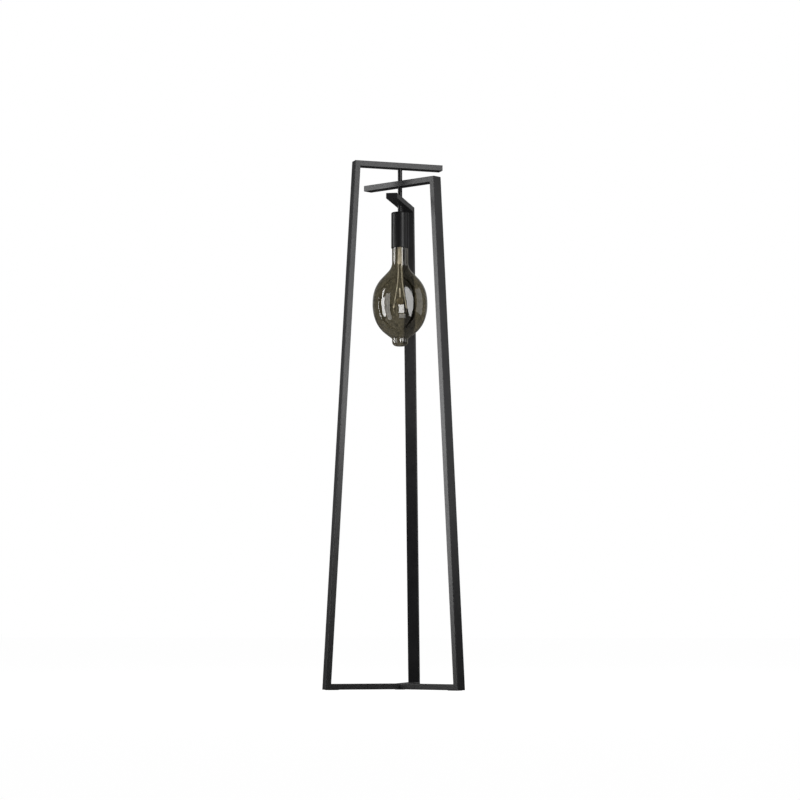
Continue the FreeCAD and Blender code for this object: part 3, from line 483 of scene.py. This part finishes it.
def foot_pad(tree, given):
    """Die-cut pads with rounded corners under the feet."""
    edge = add(tree, "GeometryNodeCurvePrimitiveQuadrilateral", {
        "Width": given["Length"], "Height": given["Width"],
    })
    cut = add(tree, "GeometryNodeFilletCurve", {
        "Curve": edge.outputs[0], "Radius": given["Corner radius"], "Count": 6,
    }, mode="POLY")
    sheet = add(tree, "GeometryNodeFillCurve", {"Curve": cut.outputs[0]}, mode="NGONS")
    lifted = add(tree, "GeometryNodeExtrudeMesh", {
        "Mesh": sheet.outputs[0], "Offset": (0, 0, 1), "Offset Scale": given["Thickness"],
        "Individual": False,
    })
    both = add(tree, "GeometryNodeJoinGeometry", {0: lifted.outputs[0]})
    tree.links.new(sheet.outputs[0], both.inputs[0])
    return on_each_frame(tree, moved(tree, both.outputs[0], given["Reach"]))


# --- Bulb ---------------------------------------------------------------------------------------

GLASS_WALL = 1
GLASS_STEPS = 192
GLOBE_RADIUS = 73.3
GLOBE_LEVEL = 1020
NECK_RADIUS = 21.5
CAP_BOTTOM = 1201.7
NECK_TOP = CAP_BOTTOM - 22  # where the straight neck starts to narrow towards the cap
NECK_EDGE = 0.4  # a ring this far below the neck's top keeps the neck's shading straight
MOUTH_RADIUS = 12.1  # of the open top, just under the cap
CAP_GAP = 0.3
TIP_RADIUS = 21.2
TIP_WALL = 6.7  # height of the tip's upright side
TIP_CORNER = 12  # radius that rounds its end


def glass_outline(inset):
    """Half outline of the glass, from its top at the cap down to its tip, inset from the outside.

    The globe is drawn from its widest level by arcs that pass into each other, each of a radius
    and the slope that it reaches, as on the drawing of the solid.
    """
    points = []

    def bend(centre_radius, centre_height, radius, start, end, steps):
        for step in range(steps + 1):
            angle = math.radians(start + (end - start) * step / steps)
            points.append((
                centre_radius + radius * math.cos(angle),
                centre_height + radius * math.sin(angle)))

    def half(first, first_angle, second, second_angle, throat, reach, way):
        """One half of the globe: two arcs, a straight run and the throat that ends at its reach
        from the axis, upwards for way 1 and downwards for -1."""
        one, two = math.radians(first_angle), math.radians(second_angle)
        inward = first * (1 - math.cos(one)) + second * (math.cos(one) - math.cos(two))
        inward += throat * (1 - math.cos(two))
        run = (GLOBE_RADIUS - reach - inward) / math.sin(two)
        centre = GLOBE_RADIUS - first
        bend(centre, GLOBE_LEVEL, first - inset, 0, way * first_angle, steps=12)
        centre += (first - second) * math.cos(one)
        level = GLOBE_LEVEL + way * (first - second) * math.sin(one)
        bend(centre, level, second - inset, way * first_angle, way * second_angle, steps=30)
        out = second * math.cos(two)
        high = second * math.sin(two)
        foot = (centre + out - run * math.sin(two), level + way * (high + run * math.cos(two)))
        hub = (foot[0] + throat * math.cos(two), foot[1] + way * throat * math.sin(two))
        bend(hub[0], hub[1], throat + inset, 180 + way * second_angle, 180, steps=14)
        return hub[1]

    half(first=160, first_angle=8, second=87, second_angle=43.3,
         throat=36, reach=NECK_RADIUS, way=1)
    points.append((NECK_RADIUS - inset, NECK_TOP - NECK_EDGE))
    points.append((NECK_RADIUS - inset, NECK_TOP))
    points.append((MOUTH_RADIUS - inset, CAP_BOTTOM - CAP_GAP))
    upper = points[::-1]
    points = []
    shelf = half(first=121, first_angle=18.6, second=83.5, second_angle=52.7,
                 throat=3, reach=TIP_RADIUS, way=-1)
    bottom = shelf - TIP_WALL
    bend(TIP_RADIUS - TIP_CORNER, bottom, TIP_CORNER - inset, 0, -90, steps=14)
    points.append((0, bottom - TIP_CORNER + inset))
    return upper + points[1:]


def bulb_glass(finish):
    outer = glass_outline(0)
    inner = glass_outline(GLASS_WALL)
    mesh = lathe("bulb_envelope", outer + inner[::-1], GLASS_STEPS)
    smooth(mesh, angle=40)
    attach(new_object("bulb_envelope", mesh, finish), "bulb", "smoked_glass", "bulb_glass")


LEAD_TURN = 10.93  # degrees round the axis, of the plane that the leads and the filament lie in


def in_lead_plane(across, up, out=0):
    """Millimetre point by its place across the upright plane of the leads, its height and its
    place out of it."""
    swing = math.radians(LEAD_TURN)
    return (
        across * math.cos(swing) - out * math.sin(swing),
        across * math.sin(swing) + out * math.cos(swing),
        up)


# The stem's outside and its bore, from the cap down: height, half width and half depth.
STEM_OUTSIDE = [
    (1206.7, 9, 9), (1203, 8.2, 8.2), (1198, 7.2, 7.2), (1189.7, 6.5, 6.5), (1172, 6.4, 6.4),
    (1164, 6.0, 5.7), (1156, 5.8, 4.4), (1148, 6.0, 3.2), (1140, 6.3, 2.6), (1132, 6.5, 2.4),
    (1130, 6.4, 2.2), (1129.2, 6.1, 1.7),
]
STEM_BORE = [
    (1206.7, 8, 8), (1203, 7.2, 7.2), (1198, 6.2, 6.2), (1189.7, 5.5, 5.5), (1174, 5.4, 5.4),
    (1168, 4.6, 4.4), (1164, 3.2, 3.0),
]
STEM_STEPS = 48


def bulb_stem(finish):
    """Flared tube that is pressed flat round the leads at its lower end, where its bore is
    closed."""
    form = bmesh.new()

    def ring(up, half_width, half_depth):
        swings = [math.tau * step / STEM_STEPS for step in range(STEM_STEPS)]
        places = [
            in_lead_plane(half_width * math.cos(swing), up, half_depth * math.sin(swing))
            for swing in swings
        ]
        return [form.verts.new(Vector(place) * MM) for place in places]

    rings = [ring(*level) for level in STEM_BORE[::-1] + STEM_OUTSIDE]
    for first, following in zip(rings, rings[1:]):
        for step in range(STEM_STEPS):
            after = (step + 1) % STEM_STEPS
            form.faces.new([first[step], first[after], following[after], following[step]])
    form.faces.new(rings[0])
    form.faces.new(rings[-1])
    bmesh.ops.recalc_face_normals(form, faces=form.faces)
    mesh = bpy.data.meshes.new("stem_press")
    form.to_mesh(mesh)
    form.free()
    smooth(mesh, angle=50)
    attach(new_object("stem_press", mesh, finish), "bulb", "stem_glass", "bulb_stem")


LEAD_RADIUS = 1.3
# Places of the leads across their plane, and heights: each side in the stem, and both below it.
LEADS_IN_STEM = {
    -1: [(1.8, 1196), (1.6, 1160), (3.9, 1136)],
    1: [(3.0, 1196), (3.4, 1160), (4.0, 1136)],
}
LEADS_BELOW_STEM = [(4.3, 1118), (4.8, 1101), (6.3, 1076), (10.9, 1049), (13, 1033), (16.5, 1017)]


def bulb_leads(finish):
    """Two lead wires, from the cap through the press and outwards past the button."""
    routes = [
        [in_lead_plane(side * across, up) for across, up in inside + LEADS_BELOW_STEM]
        for side, inside in LEADS_IN_STEM.items()
    ]
    leads = wires("lead_wires_drawn", finish, routes, LEAD_RADIUS)
    attach(leads, "bulb", "lead_nickel", "lead_wires")


# The ferrule's closed section, by radius and height: rounded at its top, wider at its foot.
FERRULE = [
    (1.45, 1065), (1.9, 1064.6), (2.0, 1063.8), (2.0, 1043), (2.3, 1041.5), (2.3, 1040.2),
    (1.45, 1040.2),
]
FERRULE_STEPS = 32


def button_ferrule(finish):
    """Bright sleeve that holds the rod in its button."""
    mesh = lathe("button_ferrule", FERRULE, FERRULE_STEPS)
    smooth(mesh, angle=40)
    attach(new_object("button_ferrule", mesh, finish), "bulb", "lead_nickel")


COIL_POINTS = 8  # along each turn of the filament


def coil(tree, given):
    """The wire of the filament, wound along the line that it is given."""
    line = add(tree, "GeometryNodeMeshToCurve", {"Mesh": given["Form"]})
    bent = add(tree, "GeometryNodeFilletCurve", {
        "Curve": line.outputs[0], "Radius": given["Bend radius"], "Count": 8,
    }, mode="POLY")
    step = add(tree, "ShaderNodeMath", {
        0: given["Pitch"], 1: 1 / COIL_POINTS,
    }, operation="MULTIPLY")
    even = add(tree, "GeometryNodeResampleCurve", {
        "Curve": bent.outputs[0], "Length": step.outputs[0],
    }, mode="LENGTH")
    number = add(tree, "GeometryNodeInputIndex")
    swing = add(tree, "ShaderNodeMath", {
        0: number.outputs[0], 1: math.tau / COIL_POINTS,
    }, operation="MULTIPLY").outputs[0]
    normal = add(tree, "GeometryNodeInputNormal").outputs[0]
    along = add(tree, "GeometryNodeInputTangent").outputs[0]
    side = add(tree, "ShaderNodeVectorMath", {
        0: along, 1: normal,
    }, operation="CROSS_PRODUCT").outputs[0]
    shares = []
    for way, wave in ((normal, "COSINE"), (side, "SINE")):
        share = add(tree, "ShaderNodeMath", {0: swing}, operation=wave).outputs[0]
        reach = add(tree, "ShaderNodeMath", {
            0: share, 1: given["Coil radius"],
        }, operation="MULTIPLY").outputs[0]
        shares.append(add(tree, "ShaderNodeVectorMath", {
            0: way, "Scale": reach,
        }, operation="SCALE").outputs[0])
    offset = add(tree, "ShaderNodeVectorMath", {
        0: shares[0], 1: shares[1],
    }, operation="ADD").outputs[0]
    wound = add(tree, "GeometryNodeSetPosition", {
        "Geometry": even.outputs[0], "Offset": offset,
    })
    section = add(tree, "GeometryNodeCurvePrimitiveCircle", {
        "Resolution": 5, "Radius": given["Wire radius"],
    })
    return add(tree, "GeometryNodeCurveToMesh", {
        "Curve": wound.outputs[0], "Profile Curve": section.outputs[0], "Fill Caps": True,
    }).outputs[0]


FILAMENT_LEVEL = 993
# One half of the filament's loop, from a lead's tip down to its hook: place across, and height.
FILAMENT_HALF = [(17.5, 1011.1), (18, 1008.1), (16.5, 1000.2), (12, FILAMENT_LEVEL)]


def bulb_filament(finish):
    left = [in_lead_plane(-across, up) for across, up in FILAMENT_HALF]
    right = [in_lead_plane(across, up) for across, up in FILAMENT_HALF]
    line = left + right[::-1]
    mesh = bpy.data.meshes.new("filament_coil")
    mesh.from_pydata(
        [Vector(place) * MM for place in line], [(i, i + 1) for i in range(len(line) - 1)], [])
    piece = grown("filament_coil", finish, coil, {
        "Pitch": 0.36, "Coil radius": 0.22, "Wire radius": 0.07, "Bend radius": 3,
    }, mesh)
    attach(piece, "bulb", "lead_nickel", "filament")


HOOK_REACH = 8.5
HOOK_START = 1021.3  # just inside the button's rim
HOOK_RADIUS = 0.25
HOOK_BEND = 12  # above the filament
EYE_RADIUS = 0.8
EYE_ANGLES = range(60, -270, -30)  # degrees, which leaves the eye open at its top


def filament_hooks(finish):
    """Fine wires from the button's rim down to an open eye each, round the filament."""
    routes = []
    for side in (-1, 1):
        reach = side * HOOK_REACH
        route = [(0, HOOK_START), (0, FILAMENT_LEVEL + HOOK_BEND),
                 (0, FILAMENT_LEVEL + 2 * EYE_RADIUS)]
        for angle in map(math.radians, EYE_ANGLES):
            route.append((
                EYE_RADIUS * math.cos(angle), FILAMENT_LEVEL + EYE_RADIUS * math.sin(angle)))
        routes.append([in_lead_plane(reach, up, out) for out, up in route])
    hooks = wires("filament_hook_wires", finish, routes, HOOK_RADIUS)
    attach(hooks, "bulb", "lead_nickel", "filament_hooks")


# --- Studio -------------------------------------------------------------------------------------

BACKDROP_AZIMUTH = CAMERA_AZIMUTH + 180  # straight behind the lamp, as the camera sees it
BACKDROP_WHOLE = 20  # degrees from its middle, up to which it is at its full level
BACKDROP_END = 50  # degrees from its middle, from which there is only the room
# Levels are shares of white.
BACKDROP_LEVEL = 0.6  # of backdrop and floor, as the smoked glass shows them
MIRROR_LEVEL = 0.3  # of the backdrop, as reflections show it
ROOM_LEVEL = 0.04  # of the room, as reflections show it
FILL_LEVEL = 0.3  # of the light from all round on plain surfaces
FLOOR_GLOW = 0.955  # leaves room for what the floor's paint adds
FLOOR_REACH = 60


def softbox(name, azimuth, distance, height, width, tall, radiance, shape="RECTANGLE", tilt=0):
    """A studio lamp that faces the floor lamp's axis, and isn't seen through its glass. Its power
    follows from its radiance."""
    data = bpy.data.lights.new(name, "AREA")
    data.shape = shape
    data.size = width
    data.size_y = tall
    area = width * tall * (math.pi / 4 if shape == "ELLIPSE" else 1)
    data.energy = radiance * math.pi * area
    lamp = bpy.data.objects.new(name, data)
    lamp.location = round_the_lamp(azimuth, distance, height)
    facing = round_the_lamp(azimuth, distance, 0).to_track_quat("Z", "Y")
    lamp.rotation_euler = (facing @ Quaternion((0, 0, 1), math.radians(tilt))).to_euler()
    lamp.visible_camera = False
    lamp.visible_transmission = False
    bpy.context.scene.collection.objects.link(lamp)


def make_lamps():
    """Tall softboxes on both sides, whose reflections line the tubes and the globe, and small
    cards near the bulb for the short reflections in its glass."""
    softbox("right_softbox", azimuth=51, distance=1.8, height=1.47, width=0.98, tall=2.85,
            radiance=6.5, shape="ELLIPSE", tilt=15)
    softbox("left_softbox", azimuth=-73, distance=1.9, height=0.86, width=1.15, tall=1.32,
            radiance=9.2)
    softbox("left_upper_softbox", azimuth=-72, distance=1.9, height=1.9, width=0.45, tall=0.75,
            radiance=9.2)
    softbox("side_softbox", azimuth=99, distance=2.2, height=1.45, width=1.7, tall=1.9,
            radiance=1.05)
    softbox("front_card", azimuth=16.5, distance=0.6, height=0.885, width=0.23, tall=0.23,
            radiance=9.0)
    softbox("low_card", azimuth=21, distance=0.5, height=0.72, width=0.25, tall=0.145,
            radiance=2.2)
    softbox("left_card", azimuth=-39, distance=0.45, height=0.93, width=0.16, tall=0.54,
            radiance=2.2)


def make_world():
    """A pale backdrop behind the lamp and a dark room round it, as reflections show them. The
    camera and what passes through glass see one even level all round."""
    world = bpy.data.worlds.new("studio")
    world.use_nodes = True
    bpy.context.scene.world = world
    tree = world.node_tree
    tree.nodes.clear()
    rays = add(tree, "ShaderNodeLightPath")
    way = add(tree, "ShaderNodeTexCoord").outputs["Generated"]
    ahead = add(tree, "ShaderNodeVectorMath", {
        0: way, 1: round_the_lamp(BACKDROP_AZIMUTH, 1, 0),
    }, operation="DOT_PRODUCT").outputs["Value"]
    seen = add(tree, "ShaderNodeMapRange", {
        "Value": ahead,
        "From Min": math.cos(math.radians(BACKDROP_END)),
        "From Max": math.cos(math.radians(BACKDROP_WHOLE)),
        "To Min": ROOM_LEVEL, "To Max": MIRROR_LEVEL,
    }, interpolation_type="SMOOTHSTEP").outputs[0]
    shiny = add(tree, "ShaderNodeMix", {
        "Factor": rays.outputs["Is Glossy Ray"], LEVEL_A: FILL_LEVEL, LEVEL_B: seen,
    }).outputs[0]
    behind = add(tree, "ShaderNodeMix", {
        "Factor": rays.outputs["Is Transmission Ray"], LEVEL_A: shiny, LEVEL_B: BACKDROP_LEVEL,
    }).outputs[0]
    level = add(tree, "ShaderNodeMix", {
        "Factor": rays.outputs["Is Camera Ray"], LEVEL_A: behind, LEVEL_B: 1.0,
    }).outputs[0]
    light = add(tree, "ShaderNodeBackground", {"Color": srgb("ffffff"), "Strength": level})
    add(tree, "ShaderNodeOutputWorld", {"Surface": light.outputs[0]})


def make_floor():
    """Pale floor that the camera sees as white, with a share of plain paint that keeps the lamp's
    shadow."""
    made = bpy.data.materials.new("studio_floor")
    made.use_nodes = True
    tree = made.node_tree
    tree.nodes.clear()
    rays = add(tree, "ShaderNodeLightPath")
    clear = add(tree, "ShaderNodeMath", {
        0: rays.outputs["Is Transmission Ray"], 1: BACKDROP_LEVEL,
        2: rays.outputs["Is Camera Ray"],
    }, operation="MULTIPLY_ADD").outputs[0]
    strength = add(tree, "ShaderNodeMath", {
        0: clear, 1: FLOOR_GLOW,
    }, operation="MULTIPLY").outputs[0]
    glow = add(tree, "ShaderNodeEmission", {"Color": srgb("ffffff"), "Strength": strength})
    paint = add(tree, "ShaderNodeBsdfDiffuse", {"Color": srgb("626262")})
    both = add(tree, "ShaderNodeAddShader", {0: glow.outputs[0], 1: paint.outputs[0]})
    add(tree, "ShaderNodeOutputMaterial", {"Surface": both.outputs[0]})
    mesh = bpy.data.meshes.new("floor")
    corners = [(-1, -1), (1, -1), (1, 1), (-1, 1)]
    mesh.from_pydata(
        [(x * FLOOR_REACH, y * FLOOR_REACH, 0) for x, y in corners], [], [(0, 1, 2, 3)])
    new_object("floor", mesh, made)


# --- The lamp -----------------------------------------------------------------------------------

TUBE_CHAMFER = 0.12
CUP_CHAMFER = 0.3
CENTRE_PAD_CHAMFER = 0.2
CABLE_BUSH_CHAMFER = 0.4

make_camera()
make_world()
make_floor()
make_lamps()

# Satin black bars, on which the softboxes show as soft bands.
coat = powder_coat(
    "black_powder_coat", "0e0e0f", "151516", roughness=0.36, peel=4, sheen=0.29)
# Smoother and darker on the spun cup.
cup_coat = powder_coat(
    "black_powder_coat_on_spun_steel", "0c0c0d", "121213", roughness=0.34, peel=3, sheen=0.22)
zinc = zinc_plate()
# Dull and grainy, with next to no shine.
rubber = moulded(
    "black_rubber", "141414", "1f1f1f", roughness=0.75, grain=1.2, depth=0.1,
    specular_ior_level=0.3)
# Pressed smooth, with a soft shine.
holder = moulded(
    "black_thermoset_holder", "17161a", "201f22", roughness=0.42, grain=2, depth=0.03)
# Cream, and a little milky, because light enters it.
terminal = moulded(
    "natural_polyamide", "d9d6c8", "e6e4da", roughness=0.45, grain=3, depth=0.04,
    subsurface_weight=0.1)
# Half dull, as extruded.
sheath = moulded("black_pvc_sheath", "121213", "1a1a1b", roughness=0.5, grain=2, depth=0.03)
# Off-white ceramic under a clear, shiny glaze.
steatite = moulded(
    "glazed_steatite", "e4dfd2", "efebe2", roughness=0.25, grain=1.5, depth=0.05,
    coat_weight=0.4)
# Deep black with a sharp shine.
cap_glass = moulded(
    "black_cap_glass", "0b0b0d", "17171c", roughness=0.12, grain=3, depth=0.02)
# Warm yellow, browner where it has tarnished.
brass = drawn_metal("drawn_brass", "b08d4e", "c8a865", roughness=0.25, line=0.5)
# Pale and slightly warm, because the nickel is thin.
nickel_brass = drawn_metal("nickel_plated_brass", "a8a49a", "c9c5ba", roughness=0.24, line=0.5)
# Grey, dull and a little cloudy.
solder = drawn_metal("solder", "9a9a98", "b5b5b2", roughness=0.4, line=1)
# Painted highlight: pale from all sides and near-white, standing in for the bright reflections of
# the lamps in the shiny wire, where bare metal would mirror the dark room.
nickel = moulded("nickel_wire_painted_highlight", "f4f4f8", "ffffff", roughness=0.3, grain=3, depth=0.02)
smoke = smoked_glass()
# Nearly opaque white at the press, as painted reflection of the light that its clear glass mirrors;
# clear in the rod, and grey-brown in the button.
stem_glass = lamp_glass("pressed_lead_glass_painted_reflection", "eeeaf0", "ffffff", clearness=0.15)
rod_glass = lamp_glass("drawn_lead_glass", "f4f4f0", "ffffff", clearness=1.0)
button_glass = lamp_glass("smoked_button_glass", "7d776c", "98917f", clearness=0.45)

FINISHES = {
    "frame_steel": coat, "cover_steel": cup_coat, "plated_steel": zinc, "pad_rubber": rubber,
    "holder_plastic": holder, "terminal_plastic": terminal, "flex_sheath": sheath,
    "contact_ceramic": steatite, "contact_brass": brass, "cap_brass": nickel_brass,
    "contact_solder": solder, "insulator_glass": cap_glass, "smoked_glass": smoke,
    "stem_glass": stem_glass, "lead_nickel": nickel,
}
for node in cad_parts.values():
    for slot in node.material_slots:
        slot.material = FINISHES[slot.material.name]

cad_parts["stem_rod"].material_slots[0].material = rod_glass
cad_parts["stem_button"].material_slots[0].material = button_glass

for name in ("upper", "middle", "lower"):
    for part in ("top_bar", "leg", "base_bar", "end_cap", "sleeve"):
        node = f"{name}_{part}"
        attach(eased_copy(node, f"{node}_coated", coat, TUBE_CHAMFER), "lamp", "frame_steel", node)
cup = eased_copy("holder_cover", "holder_cup", cup_coat, CUP_CHAMFER)
attach(cup, "lamp", "cover_steel", "holder_cover")
centre_pad = eased_copy("centre_pad", "centre_pad_cut", rubber, CENTRE_PAD_CHAMFER)
attach(centre_pad, "lamp", "pad_rubber", "centre_pad")
cable_bush = eased_copy("cable_gland", "cable_bush", rubber, CABLE_BUSH_CHAMFER)
attach(cable_bush, "lamp", "pad_rubber", "cable_gland")
screws = grown("base_screws_driven", zinc, base_screw, {
    "Head radius": 4.6, "Shank radius": 2.5, "Head height": 2.1, "Length": 10,
    "Socket radius": 1.73, "Reach": 45, "Floor gap": 1,
})
attach(screws, "lamp", "plated_steel", "base_screws")
pads = grown("foot_pads_cut", rubber, foot_pad, {
    "Length": 32, "Width": 24, "Thickness": 1, "Corner radius": 3, "Reach": 188,
})
attach(pads, "lamp", "pad_rubber", "foot_pads")
bulb_glass(smoke)
bulb_stem(stem_glass)
# The leads, the ferrule, the filament and the hooks all take the nickel painted near-white as
# highlight.
bulb_leads(nickel)
button_ferrule(nickel)
bulb_filament(nickel)
filament_hooks(nickel)

view = bpy.context.scene.view_settings
view.view_transform = "Standard"
